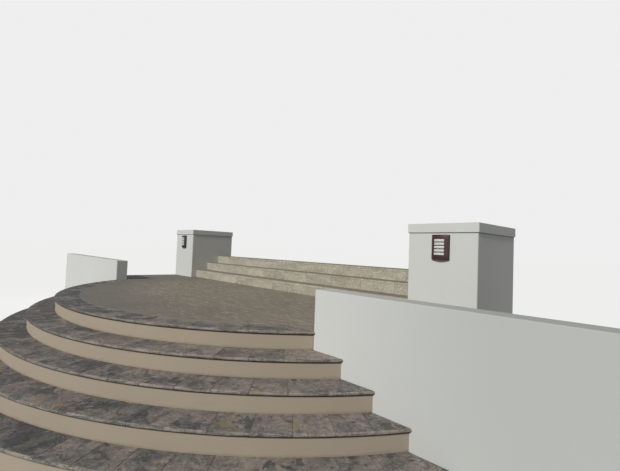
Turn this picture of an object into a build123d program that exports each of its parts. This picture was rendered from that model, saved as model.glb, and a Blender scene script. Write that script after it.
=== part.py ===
from build123d import *
import math
import os

# Curved garden steps between two flank walls, with a paved landing and a straight upper flight.
# Millimetres. The origin is on the ground, on the centre line of the curved flight, in the plane
# of the flank walls' front faces. +Y runs back over the landing and +Z is up.

# Curved flight
step_count = 5
rise = 165
going = 285
landing_radius = 3465
nosing_overhang = 20
paver_thickness = 30
nosing_flats = 5
render_thickness = 12

# Landing
border_width = 285

# Flank walls
opening_width = 5620
wall_length = 4400
wall_thickness = 200
wall_height_above_landing = 375
wall_arris = 6

# Straight upper flight and the piers that hold its ends
upper_step_count = 3
upper_rise = 165
upper_going = 275
upper_slab_thickness = 30
upper_slab_overhang = 3
upper_edge_radius = 3
upper_flight_width = 5750
upper_flight_offset = -180
upper_setback = 125
pier_setback = 1690
pier_width = 850
pier_depth = 1040
pier_height = 1095
cap_thickness = 110
cap_overhang = 12
cap_arris = 5

# Wall lights on the piers
light_width = 214
light_height = 286
light_side_depth = 22
light_bow = 27
light_wall = 8
light_arris = 3
light_drop = 24
light_window_width = 124
light_window_height = 185
light_slat_count = 5
light_slat_height = 27
light_slat_play = 2
light_slat_stand = 10

# Levels and places that follow from the sizes above
landing_level = step_count * rise
wall_top = landing_level + wall_height_above_landing
half_opening = opening_width / 2
wall_end = half_opening + wall_length
arc_centre_y = math.sqrt(landing_radius ** 2 - half_opening ** 2)
flight_left = upper_flight_offset - upper_flight_width / 2
flight_right = upper_flight_offset + upper_flight_width / 2
pier_left_edge = flight_left - pier_width
pier_right_edge = flight_right + pier_width
pier_back = pier_setback + pier_depth
pier_top = landing_level + pier_height
flight_front = pier_setback + upper_setback
bed_level = landing_level - paver_thickness


def box_between(x_range, y_range, z_range):
    """Box from its lowest to its highest corner."""
    width = x_range[1] - x_range[0]
    depth = y_range[1] - y_range[0]
    height = z_range[1] - z_range[0]
    return Pos(x_range[0], y_range[0], z_range[0]) * Box(width, depth, height, align=Align.MIN)


def riser_radius(step):
    """Radius of the rendered riser face, counted from the ground up."""
    return landing_radius + (step_count - step) * going


def in_front_of_walls(shape):
    """What lies on the garden side of the flank walls' front faces."""
    reach = 2 * riser_radius(1)
    garden = box_between((-reach, reach), (-reach, 0), (-reach, reach))
    return shape & garden


def turned_about_centre(profile):
    """Profile of radius and height turned about the curved flight's centre, up to the flank walls."""
    turned = revolve(Plane.XZ * profile, Axis.Z)
    return in_front_of_walls(Pos(0, arc_centre_y) * turned)


def bullnosed_course(inner_radius, outer_radius, top):
    """Course of pavers whose outer edge is rounded over its whole thickness."""
    nose_radius = paver_thickness / 2
    nose_start = outer_radius - nose_radius
    mid_height = top - nose_radius
    nose = []
    for flat in range(nosing_flats + 1):
        angle = math.pi * (flat / nosing_flats - 0.5)
        nose.append((nose_start + nose_radius * math.cos(angle), mid_height + nose_radius * math.sin(angle)))
    section = [(inner_radius, top - paver_thickness), *nose, (inner_radius, top)]
    return turned_about_centre(make_face(Polyline(*section, close=True)))


def disc_segment(radius, bottom, top):
    """Solid segment of a disc about the same centre."""
    disc = Cylinder(radius, top - bottom, align=(Align.CENTER, Align.CENTER, Align.MIN))
    return in_front_of_walls(Pos(0, arc_centre_y, bottom) * disc)


def step_core(step):
    """Mass of one tier, from the bed of the tread below to the bed of its own paving."""
    bottom = 0 if step == 1 else (step - 1) * rise - paver_thickness
    top = step * rise - paver_thickness
    return disc_segment(riser_radius(step) - render_thickness, bottom, top)


def riser(step):
    """Rendered skin that stands on the tread below and stops under its own nosing."""
    height = rise - paver_thickness
    middle = (riser_radius(step) - render_thickness / 2, (step - 1) * rise + height / 2)
    return turned_about_centre(Pos(*middle) * Rectangle(render_thickness, height))


def tread(step):
    """Slate course with a bullnose, bedded on its tier and butted to the tier above."""
    inner = riser_radius(step + 1) - render_thickness
    outer = riser_radius(step) + nosing_overhang
    return bullnosed_course(inner, outer, step * rise)


def landing_border():
    """Slate course along the curved edge of the landing."""
    outer = landing_radius + nosing_overhang
    return bullnosed_course(outer - border_width, outer, landing_level)


def terrace(bottom, top):
    """Landing between the wall ends and behind the walls, as far back as the piers."""
    passage = box_between((-half_opening, half_opening), (0, wall_thickness), (bottom, top))
    yard = box_between((pier_left_edge, pier_right_edge), (wall_thickness, pier_setback), (bottom, top))
    return passage + yard


def landing_paving():
    """Field of small tiles inside the border, back to the first straight step."""
    front = disc_segment(landing_radius + nosing_overhang - border_width, bed_level, landing_level)
    between_piers = box_between(
        (flight_left, flight_right), (pier_setback, flight_front), (bed_level, landing_level)
    )
    return front + terrace(bed_level, landing_level) + between_piers


def flank_wall(side):
    """Straight rendered wall from the opening outwards; side is -1 for left and 1 for right."""
    x_range = sorted((side * half_opening, side * wall_end))
    block = box_between(x_range, (0, wall_thickness), (0, wall_top))
    corners = block.edges().filter_by(Axis.Z) + block.faces().sort_by(Axis.Z)[-1].edges()
    return chamfer(corners, wall_arris)


def upper_base():
    """Mass under the straight flight, between the piers."""
    return box_between((flight_left, flight_right), (pier_setback, pier_back), (0, bed_level))


def upper_riser(step):
    """Limestone course whose front face is the riser."""
    front = flight_front + (step - 1) * upper_going
    bottom = bed_level if step == 1 else landing_level + (step - 1) * upper_rise
    top = landing_level + step * upper_rise - upper_slab_thickness
    return box_between((flight_left, flight_right), (front, pier_back), (bottom, top))


def upper_tread(step):
    """Tread slab on its course, with an eased front edge."""
    front = flight_front + (step - 1) * upper_going - upper_slab_overhang
    top = landing_level + step * upper_rise
    slab = box_between(
        (flight_left, flight_right), (front, pier_back), (top - upper_slab_thickness, top)
    )
    front_edges = slab.edges().filter_by(Axis.X).group_by(Axis.Y)[0]
    return fillet(front_edges, upper_edge_radius)


def pier_span(side):
    """Left and right faces of a pier; side is -1 for left and 1 for right."""
    if side < 0:
        return pier_left_edge, flight_left
    return flight_right, pier_right_edge


def pier(side):
    """Rendered pier from the ground to the underside of its cap."""
    body = box_between(pier_span(side), (pier_setback, pier_back), (0, pier_top - cap_thickness))
    return chamfer(body.edges().filter_by(Axis.Z), wall_arris)


def pier_cap(side):
    """Square-edged cap that overhangs the pier all round."""
    left, right = pier_span(side)
    cap = box_between(
        (left - cap_overhang, right + cap_overhang),
        (pier_setback - cap_overhang, pier_back + cap_overhang),
        (pier_top - cap_thickness, pier_top),
    )
    return chamfer(cap.edges(), cap_arris)


def light_block(inset):
    """Block with a bowed front, standing at the foot of a wall light and facing -Y."""
    half = light_width / 2 - inset
    side = light_side_depth - inset
    sides = Polyline((-half, -side), (-half, 0), (half, 0), (half, -side))
    bow = ThreePointArc((half, -side), (0, -side - light_bow), (-half, -side))
    plan = extrude(make_face(sides + bow), light_height - 2 * inset)
    return Pos(0, 0, inset) * plan


def light_window(width, height, middle):
    """Opening through the front of a wall light, centred at a height above its foot."""
    depth = 2 * (light_side_depth + light_bow)
    return Pos(0, -depth / 2 - light_wall, middle) * Box(width, depth, height)


def light_place(side):
    """Place of a wall light's foot on the pier's front face."""
    left, right = pier_span(side)
    foot = pier_top - cap_thickness - light_drop - light_height
    return Pos((left + right) / 2, pier_setback, foot)


def light_body(side):
    """Bronze housing, open at the back and with a window in its bowed front."""
    shell = light_block(0)
    shell = chamfer(shell.edges() - shell.faces().sort_by(Axis.Y)[-1].edges(), light_arris)
    shell -= light_block(light_wall)
    shell -= light_window(light_window_width, light_window_height, light_height / 2)
    return light_place(side) * shell


def light_lens(side):
    """White diffuser that fills the housing, with level slats that stand proud of its window."""
    lens = light_block(light_wall)
    front = light_block(-light_slat_stand)
    width = light_window_width - 2 * light_slat_play
    run = light_window_height - 2 * light_slat_play - light_slat_height
    lowest = (light_height - run) / 2
    for slat in range(light_slat_count):
        middle = lowest + slat * run / (light_slat_count - 1)
        lens += front & light_window(width, light_slat_height, middle)
    return light_place(side) * lens


def build_parts():
    """Every piece under the name of its node."""
    parts = {}
    for step in range(1, step_count + 1):
        parts[f"step_core_{step}"] = step_core(step)
        parts[f"riser_{step}"] = riser(step)
    for step in range(1, step_count):
        parts[f"tread_{step}"] = tread(step)
    parts["landing_border"] = landing_border()
    parts["landing_paving"] = landing_paving()
    parts["landing_base"] = terrace(0, bed_level)
    parts["upper_base"] = upper_base()
    for step in range(1, upper_step_count + 1):
        parts[f"upper_riser_{step}"] = upper_riser(step)
        parts[f"upper_tread_{step}"] = upper_tread(step)
    for name, side in (("left", -1), ("right", 1)):
        parts[f"{name}_wall"] = flank_wall(side)
        parts[f"{name}_pier"] = pier(side)
        parts[f"{name}_pier_cap"] = pier_cap(side)
        parts[f"{name}_light_body"] = light_body(side)
        parts[f"{name}_light_lens"] = light_lens(side)
    return parts


os.makedirs("parts", exist_ok=True)
for name, shape in build_parts().items():
    export_step(shape, f"parts/{name}.step")
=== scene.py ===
"""Looks of the curved garden steps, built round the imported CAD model."""

import math
import random

import bmesh
import bpy
from mathutils import Color, Matrix, Vector, noise


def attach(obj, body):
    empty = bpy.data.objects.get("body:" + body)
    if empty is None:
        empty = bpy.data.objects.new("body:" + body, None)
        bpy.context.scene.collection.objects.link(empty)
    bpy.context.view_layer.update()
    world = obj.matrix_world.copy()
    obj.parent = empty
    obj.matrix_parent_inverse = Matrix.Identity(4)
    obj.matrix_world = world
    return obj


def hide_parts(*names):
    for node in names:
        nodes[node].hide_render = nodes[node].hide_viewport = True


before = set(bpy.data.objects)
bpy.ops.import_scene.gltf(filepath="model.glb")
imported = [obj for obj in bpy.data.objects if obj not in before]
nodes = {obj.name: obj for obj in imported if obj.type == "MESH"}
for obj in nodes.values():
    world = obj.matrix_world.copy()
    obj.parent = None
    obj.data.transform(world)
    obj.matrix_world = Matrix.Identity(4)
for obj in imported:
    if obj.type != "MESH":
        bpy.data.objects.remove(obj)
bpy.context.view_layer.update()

# Camera, where the photograph was taken from: metres, radians, focal length in pixels
camera_place = Vector((5.3176, -2.4376, 1.5565))
camera_yaw = -0.8183
camera_pitch = 0.0371
camera_roll = 0.0379
focal_pixels = 384.99
photo_width_pixels = 620
sensor_width_mm = 36

# Sizes of the part, as in its source, in metres
step_count = 5
rise = 0.165
going = 0.285
landing_radius = 3.465
nosing_overhang = 0.020
paver_thickness = 0.030
render_thickness = 0.012
border_width = 0.285
half_opening = 2.810
wall_thickness = 0.200
upper_step_count = 3
upper_rise = 0.165
upper_going = 0.275
upper_slab_thickness = 0.030
upper_slab_overhang = 0.003
flight_left = -3.055
flight_right = 2.695
yard_left = -3.905
yard_right = 3.545
pier_front = 1.690
pier_back = 2.730
cap_underside = 1.810
flight_front = 1.815
landing_level = step_count * rise
arc_centre = Vector((0, math.sqrt(landing_radius**2 - half_opening**2), 0))

# Slate pavers of the curved courses
paver_pitch = 0.288
paver_phase = 0.118
paver_joint = 0.003
paver_slice = 0.026
paver_slack = 0.100
paver_top_cuts = 8
paver_arris = 0.0012
wall_play = 0.0015
course_play = 0.001
nose_radius = 0.0149
nose_segments = 4
nose_wear_depth = 0.050
cleft_depth = 0.0009
cleft_scale = 9
chip_depth = 0.0014
chip_scale = 33
underside_margin = 0.001
joint_depth = 0.003
joint_lean = 0.006
smallest_cut = 0.060
long_paver_share = 0.4
joints_left_out = {"landing_border": (10,), "tread_2": (10,), "tread_1": (13,)}
joints_placed_from = 9
mortar_slice = 0.080

# Angles by which sections are turned on past the walls, before they are cut there
paver_overrun = 0.02
course_overrun = 0.01

# Unevenness of the rendered risers
render_slice = 0.050
render_cuts = 4
render_unevenness = 0.0006
render_wave_scale = 2.3
render_end_margin = 0.001

# Clouds on single courses: place along the nose, depth behind it, half length, half depth, and
# how much darker (above 0) or paler (below 0) the slate is there; broad drifts come first
slate_clouds = {
    "landing_border": (
        (-1.40, 0.14, 2.40, 1.50, 1.0),
        (2.60, 0.14, 0.90, 1.50, -0.8),
        (-2.05, 0.25, 1.30, 0.11, -0.4),
        (-1.05, 0.22, 0.34, 0.035, 0.6),
        (-0.76, 0.08, 0.11, 0.045, 0.8),
        (0.31, 0.14, 0.06, 0.08, 0.7),
        (0.56, 0.17, 0.09, 0.04, 0.7),
        (0.65, 0.05, 0.08, 0.03, 0.5),
        (0.93, 0.17, 0.09, 0.08, 0.9),
        (1.13, 0.12, 0.12, 0.14, -0.8),
        (1.34, 0.22, 0.09, 0.07, 1.6),
        (1.33, 0.07, 0.08, 0.06, 0.5),
        (1.65, 0.12, 0.12, 0.10, 0.9),
        (1.90, 0.16, 0.06, 0.05, 1.4),
        (2.28, 0.12, 0.10, 0.09, 0.6),
        (2.66, 0.12, 0.05, 0.09, 0.9),
        (2.88, 0.12, 0.13, 0.10, 1.0),
    ),
    "tread_4": (
        (-1.60, 0.14, 2.40, 1.50, 1.0),
        (3.10, 0.14, 1.20, 1.50, -1.3),
        (0.15, 0.15, 0.34, 0.10, 0.5),
        (0.95, 0.24, 0.26, 0.06, 0.8),
        (2.03, 0.24, 0.20, 0.04, 0.6),
        (2.46, 0.14, 0.08, 0.05, 1.0),
        (2.80, 0.11, 0.11, 0.10, 1.0),
    ),
    "tread_3": (
        (-1.60, 0.14, 2.40, 1.50, 1.1),
        (1.80, 0.14, 1.20, 1.50, -0.3),
        (3.10, 0.14, 0.70, 1.50, -0.6),
        (0.55, 0.14, 0.16, 0.10, 0.6),
        (0.92, 0.20, 0.40, 0.09, 0.3),
        (2.20, 0.10, 0.10, 0.06, 0.8),
        (2.56, 0.09, 0.14, 0.10, 0.9),
        (2.84, 0.13, 0.12, 0.08, 0.8),
        (3.40, 0.24, 0.10, 0.04, 0.8),
    ),
    "tread_2": (
        (-2.20, 0.14, 2.00, 1.50, 1.0),
        (3.70, 0.14, 0.60, 1.50, -0.5),
        (1.20, 0.14, 0.35, 0.50, 0.4),
        (1.68, 0.17, 0.18, 0.08, 0.9),
        (2.33, 0.22, 0.14, 0.07, 0.9),
        (2.77, 0.14, 0.12, 0.12, 1.0),
        (2.94, 0.13, 0.09, 0.08, -1.0),
        (3.17, 0.13, 0.14, 0.12, 1.0),
        (3.54, 0.17, 0.09, 0.09, 1.0),
        (3.76, 0.12, 0.13, 0.10, -1.0),
    ),
    "tread_1": (
        (-2.40, 0.14, 2.00, 1.50, 1.0),
        (3.30, 0.14, 0.35, 1.50, -0.7),
        (2.20, 0.10, 0.14, 0.08, 1.0),
        (2.42, 0.21, 0.17, 0.06, -0.4),
        (3.07, 0.20, 0.15, 0.08, 1.0),
        (3.66, 0.20, 0.10, 0.06, 1.0),
    ),
}
# Ochre pieces and stains, measured in the same way
slate_ochre = {
    "tread_3": ((3.345, 0.0, 0.06, 0.04, 1.2),),
    "tread_2": (
        (1.92, 0.13, 0.24, 0.10, 0.33),
        (2.16, 0.07, 0.18, 0.06, 0.36),
        (3.38, 0.17, 0.08, 0.13, 0.62),
        (3.87, 0.12, 0.07, 0.07, 0.50),
    ),
    "tread_1": ((1.86, 0.16, 0.20, 0.10, 0.36),),
}
# How far a patch reaches, as the squared share of its half length and half depth
patch_reach = 1.6
# Corner cut off one paver: number of its right joint, place at the nose and lean of the cut
corner_cuts = {"tread_3": (10, 3.116, -0.226)}
# Least and usual warmth of a course's pavers
slate_warmth = {
    "landing_border": (0.5, 0.85),
    "tread_4": (0.2, 0.70),
    "tread_3": (0.2, 0.65),
    "tread_2": (0.2, 0.75),
    "tread_1": (0.0, 0.45),
}

# Shades of the slate and of the layers in its ground nose: place on a noise, and colour on screen
slate_shades = (
    (0.28, (88, 89, 91)),
    (0.36, (99, 99, 100)),
    (0.43, (110, 109, 108)),
    (0.49, (122, 118, 115)),
    (0.56, (135, 129, 124)),
    (0.68, (148, 140, 131)),
)
nose_shades = (
    (0.38, (88, 88, 87)),
    (0.46, (129, 124, 119)),
    (0.54, (149, 142, 134)),
    (0.62, (170, 161, 148)),
    (0.72, (158, 141, 110)),
)
# Torn patches on the slate, one over the other: scale and distortion of their noise, where they
# start and are full on it, strength, colour on screen, and whether they turn with the stone
slate_patches = (
    (8.5, 0.8, 0.57, 0.61, 0.50, (78, 78, 79), True),
    (3.6, 0.9, 0.56, 0.60, 0.50, (150, 139, 133), False),
    (3.1, 0.9, 0.55, 0.60, 0.45, (124, 113, 116), True),
    (3.3, 0.9, 0.57, 0.62, 0.50, (118, 117, 104), False),
)
# How far the pattern may move from stone to stone
stone_spread = (37.0, 37.0, 37.0)

# Travertine of the landing and the straight flight
block_length = 0.600
block_phase = -0.170
shortest_block = 0.050
tile_joint = 0.003
tile_arris = 0.0015
facing_thickness = 0.020
facing_lift = 0.0005
slab_lap = 0.012
landing_tile_depth = 0.400
landing_tile_thickness = 0.020
landing_tile_drop = 0.0004
landing_joint = 0.0015
landing_joint_depth = 0.0006
landing_arris = 0.0001
landing_front = -2.0
last_row = -1.25
smallest_tile = 0.020
landing_bed_segments = 320

# Short straight cuts that round the landing's tiles off: number on each side, turn and margin
edge_cuts = 60
edge_cut_turn = 0.02
edge_cut_margin = 0.1

# Wall lights
light_width = 0.214
light_height = 0.286
light_side_depth = 0.022
light_bow = 0.027
light_bow_steps = 24
light_arris = 0.003
light_drop = 0.024
window_width = 0.124
window_height = 0.185
window_depth = 0.012
window_lip = 0.0015
slat_count = 5
slat_height = 0.027
slat_play = 0.002
slat_stand = 0.010
slat_arris = 0.0018
slat_root = 0.0176
screen_root = 0.0132
screen_lift = 0.001
screen_play = 0.002

# Edges that turn by more than this stay sharp: on soft and on square-cut shapes
soft_crease = math.radians(32)
square_crease = math.radians(20)

# Edges that turn by more than this get an arris: radians
paver_corner = math.radians(62)
tile_corner = 0.5
housing_corner = math.radians(35)
slat_corner = math.radians(50)

# Distances within which places count as the same, and the same for areas
cut_tolerance = 1e-6
merge_distance = 2e-6
level_tolerance = 1e-5
area_tolerance = 1e-6

# Light: the sun's height and how far it stands to the right of the centre line
sun_height = math.radians(33)
sun_turn = math.radians(6)
sun_strength = 2.58
sun_softness = math.radians(6)
sun_colour = (1.0, 0.985, 0.955)
sky_strength = 0.20
sky_colour = (0.97, 0.985, 1.0, 1)
backdrop_tone = 0.86
floor_tone = 0.50
floor_lift = 0.535
floor_radius = 160
floor_segments = 128
floor_drop = 0.001

random.seed(7)


def placed(name, data):
    """A new object in the scene."""
    made = bpy.data.objects.new(name, data)
    bpy.context.scene.collection.objects.link(made)
    return made


def as_mesh(name, bm):
    """The finished geometry as a mesh."""
    mesh = bpy.data.meshes.new(name)
    bm.to_mesh(mesh)
    bm.free()
    return mesh


def build_camera():
    """Camera at the photograph's place, turned by its roll, pitch and yaw."""
    roll = Matrix.Rotation(camera_roll, 3, "Z")
    pitch = Matrix.Rotation(math.pi / 2 + camera_pitch, 3, "X")
    yaw = Matrix.Rotation(-camera_yaw, 3, "Z")
    data = bpy.data.cameras.new("camera")
    data.sensor_width = sensor_width_mm
    data.lens = sensor_width_mm * focal_pixels / photo_width_pixels
    camera = placed("camera", data)
    camera.location = camera_place
    camera.rotation_euler = (yaw @ pitch @ roll).to_euler()
    bpy.context.scene.camera = camera


def on_screen(red, green, blue):
    """A colour as it reads on screen, 0 to 255, as the linear colour of a socket."""
    shown = Color((red / 255, green / 255, blue / 255))
    return (*shown.from_srgb_to_scene_linear(), 1.0)


def add_node(tree, kind, sockets=None, **settings):
    """A new shading node, with its settings and with what its sockets hold or are linked to."""
    made = tree.nodes.new(kind)
    for name, value in settings.items():
        setattr(made, name, value)
    for socket, value in (sockets or {}).items():
        feed(tree, made.inputs[socket], value)
    return made


def feed(tree, socket, value):
    """Links another node's output to a socket, or sets the socket's own value."""
    if isinstance(value, bpy.types.NodeSocket):
        tree.links.new(value, socket)
    else:
        socket.default_value = value


def seen_by_camera(tree):
    """1 for what the camera sees, also in a reflection or through glass, and 0 otherwise."""
    path = add_node(tree, "ShaderNodeLightPath").outputs
    seen = path["Is Camera Ray"]
    for name in ("Is Glossy Ray", "Is Transmission Ray"):
        sockets = {0: seen, 1: path[name]}
        seen = add_node(tree, "ShaderNodeMath", sockets, operation="MAXIMUM").outputs[0]
    return seen


class Finish:
    """A material, with the nodes that are added to it one after the other.

    Scales are per metre, and a colour of three numbers is one on screen, 0 to 255.
    """

    def __init__(self, name, roughness, metallic=0.0, specular=0.5):
        self.material = bpy.data.materials.new(name)
        self.material.use_nodes = True
        self.tree = self.material.node_tree
        self.set("Roughness", roughness)
        self.set("Metallic", metallic)
        self.set("Specular IOR Level", specular)
        self.place = self.node("ShaderNodeTexCoord").outputs["Object"]
        self.colour = None

    def node(self, kind, sockets=None, **settings):
        """A new node of the material."""
        return add_node(self.tree, kind, sockets, **settings)

    def set(self, name, value):
        """Sets or links one of the material's own values."""
        feed(self.tree, self.tree.nodes["Principled BSDF"].inputs[name], value)

    def mark(self, name):
        """A number that the mesh holds for each of its points."""
        return self.node("ShaderNodeAttribute", attribute_name=name).outputs["Fac"]

    def along(self, axis, vector=None):
        """One coordinate of the place, or of another vector."""
        sockets = {"Vector": self.place if vector is None else vector}
        return self.node("ShaderNodeSeparateXYZ", sockets).outputs[axis]

    def upward(self, low, high):
        """A smooth step on how much a face looks up."""
        facing = self.node("ShaderNodeNewGeometry").outputs["Normal"]
        return self.share(self.along("Z", facing), low, high)

    def scaled(self, scale, place):
        """Sockets of a texture, with one scale or with one for each axis."""
        vector = self.place if place is None else place
        if isinstance(scale, tuple):
            vector = self.node("ShaderNodeMapping", {"Vector": vector, "Scale": scale}).outputs[0]
            scale = 1.0
        return {"Vector": vector, "Scale": scale}

    def noise(self, scale, detail=3.0, roughness=0.5, distortion=0.0, place=None):
        """Cloudy noise from 0 to 1."""
        sockets = {"Detail": detail, "Roughness": roughness, "Distortion": distortion}
        sockets.update(self.scaled(scale, place))
        return self.node("ShaderNodeTexNoise", sockets).outputs["Fac"]

    def spots(self, scale, place=None):
        """Distance to the nearest of many scattered points."""
        return self.node("ShaderNodeTexVoronoi", self.scaled(scale, place)).outputs["Distance"]

    def share(self, value, low, high):
        """A smooth step: 0 at low and 1 at high."""
        sockets = {"Value": value, "From Min": low, "From Max": high}
        made = self.node("ShaderNodeMapRange", sockets, interpolation_type="SMOOTHSTEP")
        return made.outputs["Result"]

    def fall(self, value, low, high):
        """A smooth step down: 1 at low and 0 at high."""
        return self.math("SUBTRACT", 1.0, self.share(value, low, high))

    def math(self, operation, first, second=0.0, third=0.0):
        """Two or three numbers put together."""
        sockets = {0: first, 1: second, 2: third}
        return self.node("ShaderNodeMath", sockets, operation=operation).outputs[0]

    def ramp(self, value, stops):
        """Linear colours along a value; stops are pairs of place and colour."""
        made = self.node("ShaderNodeValToRGB", {"Fac": value})
        elements = made.color_ramp.elements
        while len(elements) < len(stops):
            elements.new(0.5)
        for element, (where, colour) in zip(elements, stops):
            element.position = where
            element.color = colour
        return made.outputs["Color"]

    def shades(self, value, stops):
        """Colours on screen along a value."""
        return self.ramp(value, [(where, on_screen(*colour)) for where, colour in stops])

    def mix(self, share, first, second, blend="MIX"):
        """Two linear colours mixed."""
        sockets = {0: share, 6: first, 7: second}
        made = self.node("ShaderNodeMix", sockets, data_type="RGBA", blend_type=blend)
        return made.outputs[2]

    def between(self, share, first, second):
        """The first colour at 0, the second at 1."""
        return self.mix(share, on_screen(*first), on_screen(*second))

    def lay(self, share, strength, over):
        """Lays a colour over the finish where the share is above 0."""
        self.colour = self.mix(self.math("MULTIPLY", share, strength), self.colour, on_screen(*over))

    def tint(self, value, limits, low, high):
        """Multiplies the finish by factors that go from low to high between two limits of a value."""
        factors = self.ramp(value, ((limits[0], (*low, 1)), (limits[1], (*high, 1))))
        self.colour = self.mix(1.0, self.colour, factors, "MULTIPLY")

    def own_place(self):
        """A stone's own coordinates, the same turned by its own angle, and its warmth."""
        stone = self.node("ShaderNodeAttribute", attribute_name="stone")
        sockets = {0: stone.outputs["Vector"], 1: stone_spread, 2: self.place}
        moved = self.node("ShaderNodeVectorMath", sockets, operation="MULTIPLY_ADD").outputs[0]
        parts = self.node("ShaderNodeSeparateColor", {"Color": stone.outputs["Color"]})
        angle = self.math("MULTIPLY", parts.outputs["Green"], math.tau)
        sockets = {"Vector": moved, "Angle": angle}
        turned = self.node("ShaderNodeVectorRotate", sockets, rotation_type="Z_AXIS").outputs[0]
        return moved, turned, parts.outputs["Red"]

    def done(self, height, depth, roughness=None):
        """The finished material, with relief of a depth in metres and, where it varies, roughness."""
        self.set("Base Color", self.colour)
        relief = self.node("ShaderNodeBump", {"Height": height, "Distance": depth})
        self.set("Normal", relief.outputs["Normal"])
        if roughness is not None:
            self.set("Roughness", roughness)
        return self.material


def slate_finish():
    """Multicolour slate: torn layers of charcoal, blue-grey, taupe and ochre, a ground nose, and
    painted shade under the nose.
    """
    slate = Finish("slate", roughness=0.7, specular=0.03)
    moved, turned, warmth = slate.own_place()
    layers = slate.noise((6.0, 6.0, 60.0), 4.0, 0.6, 0.5, moved)
    slate.colour = slate.shades(layers, nose_shades)
    chips = slate.noise(46.0, 5.0, 0.7, 0.0, moved)
    slate.lay(slate.share(chips, 0.54, 0.62), 0.6, (76, 73, 70))
    slate.lay(slate.fall(chips, 0.38, 0.44), 0.6, (172, 165, 156))
    slate.lay(slate.fall(slate.along("X"), -0.6, 2.2), 0.75, (60, 60, 59))
    nose_colour = slate.colour

    cloud = slate.mark("cloud")
    broad = slate.noise(2.7, 6.0, 0.58, 0.5, turned)
    torn = slate.noise(4.4, 7.0, 0.64, 0.9, turned)
    blotches = slate.noise(24.0, 6.0, 0.72, 0.3, moved)
    lean = slate.math("MULTIPLY_ADD", warmth, 0.16, -0.08)
    tone = slate.math("MULTIPLY_ADD", cloud, -0.11, slate.math("ADD", broad, lean))
    slate.colour = slate.shades(tone, slate_shades)
    against_lean = slate.math("MULTIPLY_ADD", lean, -0.7, torn)
    dark_layer = slate.share(slate.math("MULTIPLY_ADD", cloud, 0.11, against_lean), 0.53, 0.57)
    slate.lay(dark_layer, 0.85, (87, 89, 89))
    for scale, distortion, low, high, strength, shade, turns in slate_patches:
        place = turned if turns else moved
        patch = slate.share(slate.noise(scale, 6.0, 0.62, distortion, place), low, high)
        slate.lay(patch, strength, shade)
    off_level = slate.math("ABSOLUTE", slate.math("SUBTRACT", torn, 0.47))
    some = slate.share(slate.noise(5.0, 2.0, place=moved), 0.46, 0.54)
    cleft = slate.math("MULTIPLY", slate.fall(off_level, 0.0, 0.013), some)
    slate.lay(cleft, 0.72, (70, 64, 61))
    dust = slate.share(slate.noise(62.0, 3.0, 0.7, place=moved), 0.54, 0.62)
    dusty = slate.share(slate.noise(4.0, 3.0, 0.6, 0.6, turned), 0.52, 0.62)
    slate.lay(slate.math("MULTIPLY", dust, dusty), 0.6, (160, 155, 147))
    slate.tint(blotches, (0.32, 0.68), (0.68, 0.68, 0.69), (1.32, 1.31, 1.30))
    grain = slate.noise(110.0, 3.0, 0.7, place=moved)
    slate.tint(grain, (0.3, 0.7), (0.72, 0.72, 0.72), (1.27, 1.27, 1.27))
    raggedness = slate.math("MULTIPLY_ADD", blotches, 0.30, -0.15)
    ground = slate.share(slate.math("ADD", slate.mark("nose"), raggedness), 0.76, 0.83)
    slate.colour = slate.mix(slate.math("MULTIPLY", ground, 0.75), slate.colour, nose_colour)

    stains = slate.noise(4.6, 5.0, 0.6, 0.8, turned)
    ochre = slate.share(slate.math("MULTIPLY_ADD", slate.mark("ochre"), 0.45, stains), 0.66, 0.72)
    slate.lay(ochre, 0.65, (145, 131, 107))
    # Painted shade: the lower half of the bullnose (the under mark) is darkened to dark brown.
    slate.lay(slate.share(slate.mark("under"), 0.25, 0.75), 0.85, (58, 50, 43))
    ledges = slate.math("SNAP", slate.math("ADD", torn, broad), 0.08)
    height = slate.math("ADD", ledges, slate.math("MULTIPLY", blotches, 0.5))
    sheen = slate.math("MULTIPLY_ADD", torn, 0.25, 0.55)
    return slate.done(height, 0.0025, sheen)


def cream_render_finish():
    """Smooth trowelled cream render with a stained foot, painted shade along its top edge under the
    nose, and a few dark specks.
    """
    cream = Finish("cream_render", roughness=0.85, specular=0.08)
    cream.colour = cream.between(cream.noise(1.6, 3.0, 0.6), (170, 158, 142), (177, 165, 149))
    strokes = cream.noise((5.0, 5.0, 55.0), 4.0, 0.6, 0.3)
    cream.lay(strokes, 0.14, (152, 140, 123))
    foot = cream.mark("foot")
    edge = cream.math("MULTIPLY_ADD", cream.noise(6.0, 5.0, 0.65), 0.050, -0.018)
    rising = cream.fall(cream.math("SUBTRACT", foot, edge), 0.0, 0.010)
    cream.lay(rising, 0.28, (134, 114, 90))
    # Painted shade: a dark band at the top of the riser, just under the nose.
    cream.lay(cream.share(foot, 0.121, 0.131), 0.72, (66, 54, 44))
    few = cream.share(cream.noise(3.1, 2.0), 0.56, 0.60)
    cream.lay(cream.fall(cream.spots(17.0), 0.035, 0.07), few, (86, 70, 52))
    sand = cream.noise(260.0, 3.0, 0.7)
    height = cream.math("ADD", cream.math("MULTIPLY", sand, 0.35), strokes)
    return cream.done(height, 0.0009)


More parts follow.
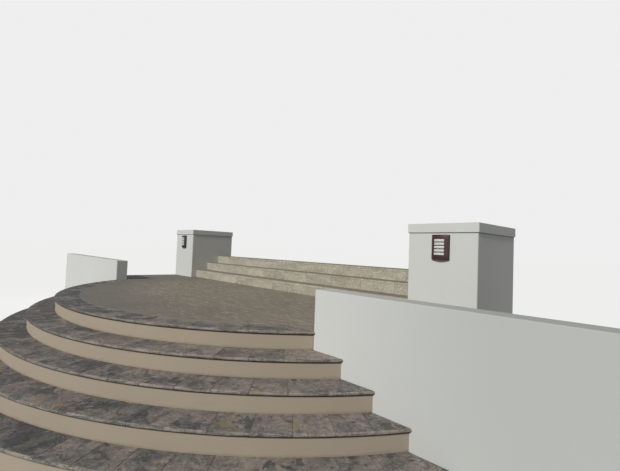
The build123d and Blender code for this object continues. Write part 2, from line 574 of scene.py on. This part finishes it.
def white_render_finish(name, painted_end_shade):
    """White painted render: faint mottling, darker on top, a grey foot, and painted shade under the
    caps and towards the right wall's outer end.
    """
    white = Finish(name, roughness=0.82, specular=0.1)
    white.colour = white.between(white.noise(0.8, 4.0, 0.6), (207, 209, 206), (214, 216, 213))
    # Painted shade: darker towards the right wall's outer end, from X 2.7 to 4.6 m.
    white.lay(white.share(white.along("X"), 2.7, 4.6), painted_end_shade, (187, 190, 187))
    # Darker on upward faces.
    white.lay(white.upward(0.5, 0.9), 0.25, (168, 169, 163))
    runs = white.noise((9.0, 9.0, 0.9), 4.0, 0.6, 0.2)
    white.lay(white.share(runs, 0.5, 0.85), 0.12, (188, 186, 177))
    height_above = white.along("Z")
    splash_edge = white.math("MULTIPLY_ADD", white.noise(5.0, 5.0, 0.6), 0.20, -0.05)
    splash = white.fall(white.math("SUBTRACT", height_above, splash_edge), 0.0, 0.10)
    white.lay(splash, 0.35, (164, 156, 142))
    # Painted shade: a thin dark band just under the caps.
    near_cap = white.math("ABSOLUTE", white.math("SUBTRACT", height_above, cap_underside - 0.003))
    white.lay(white.fall(near_cap, 0.003, 0.007), 0.6, (96, 94, 86))
    sand = white.noise(210.0, 3.0, 0.7)
    height = white.math("ADD", white.math("MULTIPLY", sand, 0.3), white.noise(6.0))
    return white.done(height, 0.0012)


def travertine_finish(
    name, pale, dark, dash, spread, fleck_scale, bed_scale, painted_top_shade=0.0, greyed=0.0, drift=0.0
):
    """Travertine: bedding, open pits, pale dashes, painted shade on upward faces and a greyer area by
    the curved edge.
    """
    stone = Finish(name, roughness=0.7, specular=0.03)
    moved, _, warmth = stone.own_place()
    bedding = stone.noise(bed_scale, 6.0, 0.62, 0.5, moved)
    tone = stone.math("ADD", bedding, stone.math("MULTIPLY_ADD", warmth, spread, -spread / 2))
    stone.colour = stone.shades(tone, ((0.34, dark), (0.68, pale)))
    dashes = stone.noise(fleck_scale, 4.0, 0.6, 0.3, moved)
    stone.lay(stone.share(dashes, 0.54, 0.64), 0.6, dash)
    stone.lay(stone.fall(dashes, 0.34, 0.43), 0.24, (96, 90, 80))
    holes = stone.fall(stone.spots((30.0, 64.0, 64.0), moved), 0.12, 0.28)
    open_bed = stone.share(stone.noise((4.0, 12.0, 12.0), place=moved), 0.46, 0.60)
    pits = stone.math("MULTIPLY", holes, open_bed)
    stone.lay(pits, 0.5, (104, 95, 80))
    # Painted shade: upward faces darker.
    stone.lay(stone.upward(0.6, 0.95), painted_top_shade, (132, 125, 112))
    sockets = {0: stone.place, 1: (0.0, arc_centre.y, landing_level)}
    from_middle = stone.node("ShaderNodeVectorMath", sockets, operation="DISTANCE").outputs["Value"]
    by_edge = stone.math("MULTIPLY", stone.share(from_middle, 2.0, 3.2), greyed)
    to_left = stone.fall(stone.along("X"), 0.0, 2.4)
    stone.lay(by_edge, to_left, (121, 117, 113))
    if drift:
        broad = stone.noise(1.7, 4.0, 0.6, 0.4)
        cool = (1 - drift, 1 - 0.9 * drift, 1 - 0.7 * drift)
        warm = (1 + drift, 1 + 0.9 * drift, 1 + 0.7 * drift)
        stone.tint(broad, (0.38, 0.62), cool, warm)
    mottle = stone.noise(70.0, 4.0, 0.7, place=moved)
    stone.tint(mottle, (0.3, 0.7), (0.82, 0.82, 0.81), (1.16, 1.16, 1.15))
    height = stone.math("SUBTRACT", stone.math("MULTIPLY", mottle, 0.4), pits)
    return stone.done(height, 0.0016)


def mortar_finish(name, light, dark):
    """Sandy mortar in the joints and on the beds."""
    mortar = Finish(name, roughness=0.92, specular=0.2)
    mortar.colour = mortar.between(mortar.noise(7.0, 5.0, 0.65), light, dark)
    return mortar.done(mortar.noise(420.0, 2.0, 0.7), 0.0012)


def concrete_finish():
    """Board-marked concrete of the mass behind and below the finishes."""
    concrete = Finish("concrete", roughness=0.88, specular=0.25)
    clouds = concrete.noise(2.4, 6.0, 0.62)
    concrete.colour = concrete.between(clouds, (128, 126, 121), (158, 155, 148))
    boards = concrete.math("FRACT", concrete.math("MULTIPLY", concrete.along("Z"), 6.4))
    seam = concrete.fall(boards, 0.0, 0.035)
    concrete.lay(seam, 0.35, (104, 101, 95))
    thin = concrete.share(concrete.noise(4.0), 0.52, 0.60)
    holes = concrete.math("MULTIPLY", concrete.fall(concrete.spots(34.0), 0.08, 0.16), thin)
    concrete.lay(holes, 0.6, (82, 79, 74))
    height = concrete.math("SUBTRACT", concrete.math("MULTIPLY", seam, 0.6), holes)
    return concrete.done(height, 0.002)


def bronze_finish():
    """Dark bronze powder coat, chalked a little in patches."""
    bronze = Finish("bronze_paint", roughness=0.46, metallic=0.25)
    chalk = bronze.noise(24.0, 4.0, 0.6)
    bronze.colour = bronze.between(chalk, (52, 28, 30), (68, 42, 42))
    orange_peel = bronze.noise(700.0, 2.0)
    sheen = bronze.math("MULTIPLY_ADD", chalk, 0.25, 0.36)
    return bronze.done(orange_peel, 0.0002, sheen)


def diffuser_finish(name, clean, dusty):
    """Opal sheet with fine moulded ribs and a little dust."""
    opal = Finish(name, roughness=0.34)
    opal.colour = opal.between(opal.noise(18.0, 4.0, 0.6), clean, dusty)
    ribs = opal.math("SINE", opal.math("MULTIPLY", opal.along("Z"), 1800.0))
    return opal.done(ribs, 0.0003)


def floor_finish():
    """Plain pale floor, lifted for the camera so that it keeps its shadow and lights little."""
    floor = Finish("floor", roughness=1.0, specular=0.0)
    pale = (floor_tone, floor_tone, floor_tone, 1)
    paler = (floor_tone * 1.02, floor_tone * 1.02, floor_tone * 1.01, 1)
    floor.set("Base Color", floor.mix(floor.noise(0.05, 1.0), pale, paler))
    floor.set("Emission Color", (1, 1, 1, 1))
    floor.set("Emission Strength", floor.math("MULTIPLY", seen_by_camera(floor.tree), floor_lift))
    return floor.material


def build_stage():
    """Floor, sun and sky; the backdrop is the sky as the camera sees it."""
    bm = bmesh.new()
    bmesh.ops.create_circle(bm, cap_ends=True, segments=floor_segments, radius=floor_radius)
    move(bm, (0, 0, -floor_drop))
    mesh = as_mesh("floor", bm)
    mesh.materials.append(floor_finish())
    floor = placed("floor", mesh)
    data = bpy.data.lights.new("sun", "SUN")
    data.energy = sun_strength
    data.angle = sun_softness
    data.color = sun_colour
    sun = placed("sun", data)
    sun.rotation_euler = (math.pi / 2 - sun_height, 0, sun_turn)
    world = bpy.data.worlds.new("sky")
    bpy.context.scene.world = world
    world.use_nodes = True
    tree = world.node_tree
    sky = tree.nodes["Background"]
    sky.inputs["Color"].default_value = sky_colour
    sky.inputs["Strength"].default_value = sky_strength
    grey = (backdrop_tone, backdrop_tone, backdrop_tone, 1)
    backdrop = add_node(tree, "ShaderNodeBackground", {"Color": grey})
    sockets = {0: seen_by_camera(tree), 1: sky.outputs[0], 2: backdrop.outputs[0]}
    choice = add_node(tree, "ShaderNodeMixShader", sockets)
    tree.links.new(choice.outputs[0], tree.nodes["World Output"].inputs["Surface"])


def piece(name, bm, finish, replaced=(), crease=soft_crease):
    """A finished mesh, smooth but for its sharp edges, as a piece that rides on the part."""
    mesh = as_mesh(name, bm)
    mesh.shade_smooth()
    mesh.set_sharp_from_angle(angle=crease)
    mesh.materials.append(finish)
    made = placed(name, mesh)
    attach(made, "root")
    if replaced:
        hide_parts(*replaced)


def coat(names, finish):
    """A finish for CAD nodes that keep their own shape."""
    for name in names:
        nodes[name].material_slots[0].material = finish


def everything(bm):
    """All that a mesh is made of."""
    return bm.verts[:] + bm.edges[:] + bm.faces[:]


def move(bm, offset):
    """Moves a whole mesh."""
    bmesh.ops.translate(bm, verts=bm.verts[:], vec=offset)


def face_outwards(bm):
    """Turns all faces of a closed mesh outwards."""
    bmesh.ops.recalc_face_normals(bm, faces=bm.faces[:])


def extend(bm, faces, offset):
    """Extrudes faces by an offset."""
    made = bmesh.ops.extrude_face_region(bm, geom=faces)["geom"]
    verts = [part for part in made if isinstance(part, bmesh.types.BMVert)]
    bmesh.ops.translate(bm, verts=verts, vec=offset)


def sharp_edges(bm, angle):
    """Edges at which two faces turn by more than an angle."""
    return [edge for edge in bm.edges if edge.calc_face_angle(0) > angle]


def soften(bm, geom, offset, segments, affect="EDGES"):
    """Takes edges or corners off, flat with one segment and rounded with more."""
    bmesh.ops.bevel(
        bm, geom=geom, offset=offset, segments=segments, profile=0.5, affect=affect, material=-1
    )


def score(bm, point, across):
    """Cuts edges into a mesh along a plane, and takes nothing away."""
    bmesh.ops.bisect_plane(
        bm, geom=everything(bm), dist=cut_tolerance, plane_co=point, plane_no=across
    )


def cut(bm, point, outward):
    """Takes away what lies beyond a plane, and closes the cut."""
    made = bmesh.ops.bisect_plane(
        bm,
        geom=everything(bm),
        dist=cut_tolerance,
        plane_co=point,
        plane_no=outward,
        clear_outer=True,
    )
    rim = [part for part in made["geom_cut"] if isinstance(part, bmesh.types.BMEdge)]
    if rim:
        bmesh.ops.holes_fill(bm, edges=rim, sides=0)


def add_box(bm, rectangle, bottom, top, joint=0.0):
    """Adds a box over a rectangle of x and y limits, half a joint in from its edges."""
    left, right, front, back = rectangle
    size = (right - left - joint, back - front - joint, top - bottom)
    middle = ((left + right) / 2, (front + back) / 2, (bottom + top) / 2)
    verts = bmesh.ops.create_cube(bm, size=1)["verts"]
    bmesh.ops.scale(bm, verts=verts, vec=size)
    bmesh.ops.translate(bm, verts=verts, vec=middle)


def join(whole, part):
    """Adds one mesh to another and frees it."""
    mesh = as_mesh("part", part)
    whole.from_mesh(mesh)
    bpy.data.meshes.remove(mesh)


def new_stones():
    """Empty mesh with the layers that a course of stones needs."""
    bm = bmesh.new()
    bm.verts.layers.float_color.new("stone")
    for name in ("nose", "under", "cloud", "ochre"):
        bm.verts.layers.float.new(name)
    return bm


def add_stone(course, stone, warmth):
    """Adds one stone to a course, with its warmth and its own random pattern."""
    face_outwards(stone)
    layer = stone.verts.layers.float_color["stone"]
    marks = (warmth, random.random(), random.random(), 1.0)
    for vert in stone.verts:
        vert[layer] = marks
    join(course, stone)


def at_angle(radius, angle, height=0.0):
    """Point at a radius from the arcs' centre; the angle runs from the centre line towards +X."""
    across = Vector((radius * math.sin(angle), -radius * math.cos(angle), height))
    return arc_centre + across


def from_centre(place):
    """Level vector from the arcs' centre to a place."""
    away = place - arc_centre
    away.z = 0
    return away


def wall_angle(radius):
    """Angle at which a circle of that radius meets the walls' front faces."""
    return math.acos(arc_centre.y / radius)


def turned_section(bm, section, start, end, slice_length, nosed=False):
    """Turns a section about the arcs' centre, as a tube open at both ends.

    The section is an inner and an outer radius, a bottom and a top; a nosed one has a bullnose and
    a top that is cut finely for its cleft.
    """
    inner, outer, bottom, top = section
    corners = ((inner, bottom), (outer, bottom), (outer, top), (inner, top))
    verts = [bm.verts.new(at_angle(radius, 0.0, height)) for radius, height in corners]
    bm.faces.new(verts)
    if nosed:
        soften(bm, verts[1:3], nose_radius, nose_segments, "VERTICES")
        level = top - level_tolerance
        top_edge = [edge for edge in bm.edges if all(vert.co.z > level for vert in edge.verts)]
        bmesh.ops.subdivide_edges(bm, edges=top_edge, cuts=paver_top_cuts)
    bmesh.ops.delete(bm, geom=bm.faces[:], context="FACES_ONLY")
    turn = Matrix.Rotation(start, 3, "Z")
    bmesh.ops.rotate(bm, verts=bm.verts[:], cent=arc_centre, matrix=turn)
    bmesh.ops.spin(
        bm,
        geom=bm.verts[:] + bm.edges[:],
        cent=arc_centre,
        axis=(0, 0, 1),
        angle=end - start,
        steps=math.ceil((end - start) * outer / slice_length),
        use_merge=False,
    )


def plain_course(bm, section, reach, slice_length):
    """A section turned by an angle of reach to each side, and cut at the walls' front faces."""
    turned_section(bm, section, -reach, reach, slice_length)
    cut(bm, (0, 0, 0), (0, 1, 0))
    face_outwards(bm)


def marked(patches, along, depth):
    """How strongly a place on a course lies in its patches."""
    total = 0.0
    for middle, middle_depth, half_length, half_depth, amount in patches:
        far = ((along - middle) / half_length) ** 2 + ((depth - middle_depth) / half_depth) ** 2
        total += amount * max(0.0, 1 - far / patch_reach)
    return total


def limited(value):
    """A value kept between 0 and 1."""
    return max(0.0, min(1.0, value))


def weather(stone, node, outer, top):
    """Natural cleft on top of a paver and chips along its nose, and marks for the finish."""
    layers = stone.verts.layers.float
    lowest = top - paver_thickness + underside_margin
    shift = Vector([random.uniform(-50, 50) for _ in range(3)])
    for vert in stone.verts:
        away = from_centre(vert.co)
        radius = away.length
        along = outer * math.atan2(away.x, -away.y)
        vert[layers["nose"]] = limited(1 - (outer - radius) / nose_wear_depth)
        # The under mark holds how far down the bullnose a point lies; the finish paints shade there.
        vert[layers["under"]] = limited((top - vert.co.z) / nose_radius - 1)
        vert[layers["cloud"]] = marked(slate_clouds.get(node, ()), along, outer - radius)
        vert[layers["ochre"]] = marked(slate_ochre.get(node, ()), along, outer - radius)
        if vert.co.z < lowest:
            continue
        vert.co.z -= cleft_depth * (1 + noise.noise(vert.co * cleft_scale + shift))
        if radius > outer - 1.2 * nose_radius:
            chip = chip_depth * (1 + noise.noise(vert.co * chip_scale + shift))
            vert.co -= away.normalized() * chip


def course_joints(node, outer, inner):
    """Joints along a course: length along the nose, lean of the inner end, and number."""
    reach = wall_angle(inner) * outer - smallest_cut
    first = math.ceil((-reach - paver_phase) / paver_pitch)
    last = math.floor((reach - paver_phase) / paver_pitch)
    joints = []
    kept = True
    for number in range(first, last + 1):
        if number < joints_placed_from:
            kept = not kept or random.random() > long_paver_share
        else:
            kept = number not in joints_left_out.get(node, ())
        if kept:
            joints.append((paver_phase + number * paver_pitch, random.gauss(0, joint_lean), number))
    return joints


def joint_plane(outer, inner, joint, side):
    """Plane of a paver's end at a joint; side is -1 for its left end and 1 for its right end."""
    along, lean = joint[:2]
    nose_point = at_angle(outer, along / outer)
    inner_point = at_angle(inner, (along + lean) / outer)
    inwards = (inner_point - nose_point).normalized()
    outward = side * Vector((inwards.y, -inwards.x, 0))
    return nose_point - outward * paver_joint / 2, outward


def paver(node, outer, inner, top, left, right, corner=None, side=0):
    """One paver between two joints, and on one side of a corner cut; None stands for the wall."""
    slack = paver_slack / outer
    reach = wall_angle(outer) + paver_overrun
    start = -reach if left is None else left[0] / outer - slack
    end = reach if right is None else right[0] / outer + slack
    stone = new_stones()
    section = (inner, outer, top - paver_thickness, top)
    turned_section(stone, section, start, end, paver_slice, nosed=True)
    cut(stone, (0, -wall_play, 0), (0, 1, 0))
    for joint, stone_side in ((left, -1), (right, 1), (corner, side)):
        if joint is not None:
            cut(stone, *joint_plane(outer, inner, joint, stone_side))
    face_outwards(stone)
    soften(stone, sharp_edges(stone, paver_corner), paver_arris, 1)
    bmesh.ops.remove_doubles(stone, verts=stone.verts[:], dist=merge_distance)
    weather(stone, node, outer, top)
    return stone


def build_course(node, outer, inner, top, finish, bed_finish):
    """A course of bullnosed pavers and the mortar between them."""
    course = new_stones()
    joints = [None, *course_joints(node, outer, inner + paver_joint), None]
    coolest, usual = slate_warmth[node]
    number, corner_along, corner_lean = corner_cuts.get(node, (None, 0, 0))
    for left, right in zip(joints, joints[1:]):
        warmth = random.triangular(coolest, 1.0, usual)
        size = (node, outer, inner + course_play, top, left, right)
        if right is None or right[2] != number:
            add_stone(course, paver(*size), warmth)
            continue
        corner = (corner_along, corner_lean)
        add_stone(course, paver(*size, corner, 1), warmth)
        add_stone(course, paver(*size, corner, -1), 0.0)
    piece(f"{node}_pavers", course, finish, (node,))
    bed = bmesh.new()
    front = outer - joint_depth - nose_radius / 2
    section = (inner, front, top - paver_thickness + joint_depth, top - joint_depth)
    plain_course(bed, section, wall_angle(outer) + course_overrun, mortar_slice)
    piece(f"{node}_mortar", bed, bed_finish)


def build_riser(step, finish):
    """Rendered riser, finely turned, with the height above its foot marked for the stains and for the
    painted shade under the nose.
    """
    outer = landing_radius + (step_count - step) * going
    foot_level = (step - 1) * rise
    bm = bmesh.new()
    layer = bm.verts.layers.float.new("foot")
    section = (outer - render_thickness, outer, foot_level, step * rise - paver_thickness)
    plain_course(bm, section, wall_angle(outer) + course_overrun, render_slice)
    uprights = [edge for edge in bm.edges if abs(edge.verts[0].co.z - edge.verts[1].co.z) > rise / 2]
    bmesh.ops.subdivide_edges(bm, edges=uprights, cuts=render_cuts, use_grid_fill=True)
    for vert in bm.verts:
        vert[layer] = vert.co.z - foot_level
        away = from_centre(vert.co)
        if away.length > outer - render_thickness / 2 and vert.co.y < -render_end_margin:
            wave = 1 + noise.noise(vert.co * render_wave_scale)
            vert.co -= away.normalized() * render_unevenness * wave
    piece(f"riser_{step}_render", bm, finish, (f"riser_{step}",))


def clipped(rectangle, zone):
    """What two rectangles share, as x and y limits, or None."""
    left = max(rectangle[0], zone[0])
    right = min(rectangle[1], zone[1])
    front = max(rectangle[2], zone[2])
    back = min(rectangle[3], zone[3])
    if right - left < smallest_tile or back - front < smallest_tile:
        return None
    return left, right, front, back


def slab(rectangle, bottom, top, joint):
    """Stone slab inside a rectangle, half a joint in from its edges."""
    stone = new_stones()
    add_box(stone, rectangle, bottom, top, joint)
    return stone


def ease(stone, top, arris):
    """Eases the upper edges of a slab."""
    rim = []
    for edge in sharp_edges(stone, tile_corner):
        if all(abs(vert.co.z - top) < level_tolerance for vert in edge.verts):
            rim.append(edge)
    soften(stone, rim, arris, 2)


def landing_zones():
    """Rectangles that the landing's tiles may fill, before the curved edge."""
    return (
        (-half_opening, half_opening, landing_front, 0.0),
        (-half_opening, half_opening, 0.0, wall_thickness),
        (yard_left, yard_right, wall_thickness, pier_front),
        (flight_left, flight_right, pier_front, flight_front),
    )


def round_off(stone, rectangle, radius):
    """Cuts a landing tile along the border's inner edge, in short straight cuts."""
    left, right, front, back = rectangle
    farthest = max(math.hypot(x, front - arc_centre.y) for x in (left, right))
    if front >= 0 or farthest < radius:
        return
    nearest = math.hypot(max(left, -right, 0), arc_centre.y - back)
    if nearest >= radius - smallest_cut:
        bmesh.ops.delete(stone, geom=stone.verts[:], context="VERTS")
        return
    for number in range(-edge_cuts, edge_cuts + 1):
        point = at_angle(radius, number * edge_cut_turn)
        in_width = left - edge_cut_margin < point.x < right + edge_cut_margin
        in_depth = front - edge_cut_margin < point.y < back + edge_cut_margin
        if in_width and in_depth:
            cut(stone, point, (point - arc_centre).normalized())
            if not stone.faces:
                return


def landing_tiles():
    """Plan rectangles of the landing's tiles, whole where they fit and cut to the zones elsewhere."""
    rectangles = []
    row_back = flight_front
    while row_back > last_row:
        row_front = row_back - landing_tile_depth
        column = math.floor((yard_left - block_phase) / block_length)
        while block_phase + column * block_length < yard_right:
            left = block_phase + column * block_length
            whole = (left, left + block_length, row_front, row_back)
            shares = [share for zone in landing_zones() if (share := clipped(whole, zone))]
            covered = sum((r - l) * (b - f) for l, r, f, b in shares)
            if abs(covered - block_length * landing_tile_depth) < area_tolerance:
                shares = [whole]
            rectangles.extend(shares)
            column += 1
        row_back = row_front
    return rectangles


def build_landing(finish, bed_finish):
    """Travertine tiles of the landing and the mortar bed that shows in their joints."""
    field = new_stones()
    radius = landing_radius + nosing_overhang - border_width
    bottom = landing_level - landing_tile_thickness
    top = landing_level - landing_tile_drop
    for rectangle in landing_tiles():
        stone = slab(rectangle, bottom, top, landing_joint)
        round_off(stone, rectangle, radius - landing_joint)
        if len(stone.faces) < 4:
            stone.free()
            continue
        face_outwards(stone)
        ease(stone, top, landing_arris)
        add_stone(field, stone, random.random())
    piece("landing_paving_tiles", field, finish, ("landing_paving",), square_crease)
    bed = bmesh.new()
    level = landing_level - landing_joint_depth
    bottom = landing_level - paver_thickness
    bmesh.ops.create_circle(bed, cap_ends=True, segments=landing_bed_segments, radius=radius)
    move(bed, arc_centre + Vector((0, 0, bottom)))
    bmesh.ops.bisect_plane(
        bed, geom=everything(bed), plane_co=(0, 0, 0), plane_no=(0, 1, 0), clear_outer=True
    )
    extend(bed, bed.faces[:], (0, 0, level - bottom))
    for zone in landing_zones()[1:]:
        add_box(bed, zone, bottom, level)
    face_outwards(bed)
    piece("landing_paving_mortar", bed, bed_finish)


def run_of_blocks(course, plan, bottom, top):
    """Blocks along X over a plan rectangle, with joints where the whole flight has them."""
    left, right, front, back = plan
    edges = [left]
    column = math.ceil((left + shortest_block - block_phase) / block_length)
    while block_phase + column * block_length < right - shortest_block:
        edges.append(block_phase + column * block_length)
        column += 1
    edges.append(right)
    for block_left, block_right in zip(edges, edges[1:]):
        rectangle = (block_left, block_right, front - tile_joint / 2, back + tile_joint / 2)
        stone = slab(rectangle, bottom, top, tile_joint)
        face_outwards(stone)
        soften(stone, stone.edges[:], tile_arris, 2)
        add_stone(course, stone, random.random())


def build_upper_step(step, finish, bed_finish):
    """Riser facing and tread slabs of a straight step, and the bed behind them."""
    front = flight_front + (step - 1) * upper_going
    foot = landing_level + (step - 1) * upper_rise
    top = foot + upper_rise
    under_slab = top - upper_slab_thickness
    back = pier_back if step == upper_step_count else front + upper_going + slab_lap
    blocks = new_stones()
    facing = (flight_left, flight_right, front, front + facing_thickness)
    run_of_blocks(blocks, facing, foot + facing_lift, under_slab)
    slabs = (flight_left, flight_right, front - upper_slab_overhang, back)
    run_of_blocks(blocks, slabs, under_slab, top)
    names = (f"upper_riser_{step}", f"upper_tread_{step}")
    piece(f"upper_step_{step}_stone", blocks, finish, names, square_crease)
    bed = bmesh.new()
    bottom = landing_level - paver_thickness if step == 1 else foot - joint_depth
    plan = (flight_left, flight_right, front + joint_depth, pier_back)
    add_box(bed, plan, bottom, top - joint_depth)
    piece(f"upper_step_{step}_bed", bed, bed_finish)


def light_block(bm, inset):
    """Closed block of a wall light, standing at the origin, with a bowed front facing -Y."""
    half = light_width / 2 - inset
    side = light_side_depth - inset
    radius = (half**2 + light_bow**2) / (2 * light_bow)
    first = bm.verts.new((-half, -side, 0))
    turned = bmesh.ops.spin(
        bm,
        geom=[first],
        cent=(0, -side - light_bow + radius, 0),
        axis=(0, 0, 1),
        angle=2 * math.asin(half / radius),
        steps=light_bow_steps,
        use_merge=False,
    )
    last = [part for part in turned["geom_last"] if isinstance(part, bmesh.types.BMVert)][0]
    back_right = bm.verts.new((half, 0, 0))
    back_left = bm.verts.new((-half, 0, 0))
    for pair in ((last, back_right), (back_right, back_left), (back_left, first)):
        bm.edges.new(pair)
    plan = bmesh.ops.contextual_create(bm, geom=bm.edges[:])["faces"]
    extend(bm, plan, (0, 0, light_height - 2 * inset))
    move(bm, (0, 0, inset))
    face_outwards(bm)


def light_foot(side):
    """Foot of a wall light on the front face of its pier."""
    left, right = (yard_left, flight_left) if side == "left" else (flight_right, yard_right)
    return Vector(((left + right) / 2, pier_front, cap_underside - light_drop - light_height))


def trim_light(bm, half, low, high, root):
    """Cuts a wall light's block down to a width, a range of heights and what is beyond its root."""
    for point, outward in (
        ((-half, 0, 0), (-1, 0, 0)),
        ((half, 0, 0), (1, 0, 0)),
        ((0, 0, low), (0, 0, -1)),
        ((0, 0, high), (0, 0, 1)),
        ((0, -root, 0), (0, 1, 0)),
    ):
        cut(bm, point, outward)
    face_outwards(bm)


def build_light_housing(side, finish):
    """Cast housing with rounded arrises and a window sunk into its bowed front."""
    bm = bmesh.new()
    light_block(bm, 0)
    arrises = []
    for edge in sharp_edges(bm, housing_corner):
        if any(vert.co.y <= -level_tolerance for vert in edge.verts):
            arrises.append(edge)
    soften(bm, arrises, light_arris, 3)
    half = window_width / 2
    low = (light_height - window_height) / 2
    high = light_height - low
    for x in (-half, half):
        score(bm, (x, 0, 0), (1, 0, 0))
    for z in (low, high):
        score(bm, (0, 0, z), (0, 0, 1))
    window = []
    for face in bm.faces:
        middle = face.calc_center_median()
        if abs(middle.x) < half and low < middle.z < high and middle.y < -light_side_depth:
            window.append(face)
    bmesh.ops.inset_region(bm, faces=window, thickness=window_lip, use_even_offset=True)
    extend(bm, window, (0, window_depth, 0))
    bmesh.ops.delete(bm, geom=[face for face in window if face.is_valid], context="FACES_ONLY")
    move(bm, light_foot(side))
    face_outwards(bm)
    piece(f"{side}_light_housing", bm, finish, (f"{side}_light_body",))


def build_light_slats(side, finish):
    """Level slats that follow the bow and stand proud of the window."""
    slats = bmesh.new()
    run = window_height - 2 * slat_play - slat_height
    half = window_width / 2 - slat_play
    for number in range(slat_count):
        middle = (light_height - run) / 2 + number * run / (slat_count - 1)
        low = middle - slat_height / 2
        slat = bmesh.new()
        light_block(slat, -slat_stand)
        trim_light(slat, half, low, low + slat_height, slat_root)
        soften(slat, sharp_edges(slat, slat_corner), slat_arris, 2)
        move(slat, light_foot(side))
        join(slats, slat)
    piece(f"{side}_light_slats", slats, finish, (f"{side}_light_lens",))


def build_light_screen(side, finish):
    """Opal screen at the bottom of the window, behind the slats, in a grey copy of the opal that
    paints their shade.
    """
    screen = bmesh.new()
    light_block(screen, window_depth - screen_lift)
    half = window_width / 2 - screen_play
    low = (light_height - window_height) / 2 + screen_play
    trim_light(screen, half, low, light_height - low, screen_root)
    move(screen, light_foot(side))
    piece(f"{side}_light_screen", screen, finish)


build_camera()
bpy.context.scene.view_settings.view_transform = "Standard"
build_stage()

slate = slate_finish()
cream = cream_render_finish()
pier_white = white_render_finish("pier_render", 0.0)
# Only the walls get the painted shade towards the right wall's outer end.
wall_white = white_render_finish("wall_render", 1.0)
limestone = travertine_finish(
    "limestone",
    pale=(185, 180, 165),
    dark=(158, 153, 139),
    dash=(226, 222, 210),
    spread=0.24,
    fleck_scale=(36.0, 64.0, 64.0),
    bed_scale=(2.6, 10.0, 10.0),
    painted_top_shade=0.85,
)
landing_stone = travertine_finish(
    "landing_stone",
    pale=(147, 139, 127),
    dark=(134, 127, 116),
    dash=(182, 175, 160),
    spread=0.03,
    fleck_scale=(6.5, 28.0, 28.0),
    bed_scale=(7.0, 16.0, 16.0),
    greyed=0.9,
    drift=0.05,
)
slate_mortar = mortar_finish("slate_mortar", (136, 129, 119), (70, 66, 62))
stone_mortar = mortar_finish("stone_mortar", (150, 145, 134), (132, 127, 117))
landing_mortar = mortar_finish("landing_mortar", (164, 156, 143), (154, 146, 133))
concrete = concrete_finish()
bronze = bronze_finish()
opal = diffuser_finish("opal_slats", (222, 223, 219), (208, 208, 202))
# Painted shade: a darker copy of the opal for the screen in the gaps between the slats.
painted_shade_opal = diffuser_finish("opal_screen", (150, 152, 148), (128, 129, 124))

for step in range(1, step_count + 1):
    build_riser(step, cream)
for step in range(1, step_count):
    outer = landing_radius + (step_count - step) * going + nosing_overhang
    inner = landing_radius + (step_count - step - 1) * going - render_thickness
    build_course(f"tread_{step}", outer, inner, step * rise, slate, slate_mortar)
outer = landing_radius + nosing_overhang
build_course("landing_border", outer, outer - border_width, landing_level, slate, slate_mortar)
build_landing(landing_stone, landing_mortar)
for step in range(1, upper_step_count + 1):
    build_upper_step(step, limestone, stone_mortar)

for side in ("left", "right"):
    coat([f"{side}_wall"], wall_white)
    coat([f"{side}_pier", f"{side}_pier_cap"], pier_white)
    build_light_housing(side, bronze)
    build_light_slats(side, opal)
    build_light_screen(side, painted_shade_opal)
coat([f"step_core_{step}" for step in range(1, step_count + 1)], concrete)
coat(["landing_base", "upper_base"], concrete)
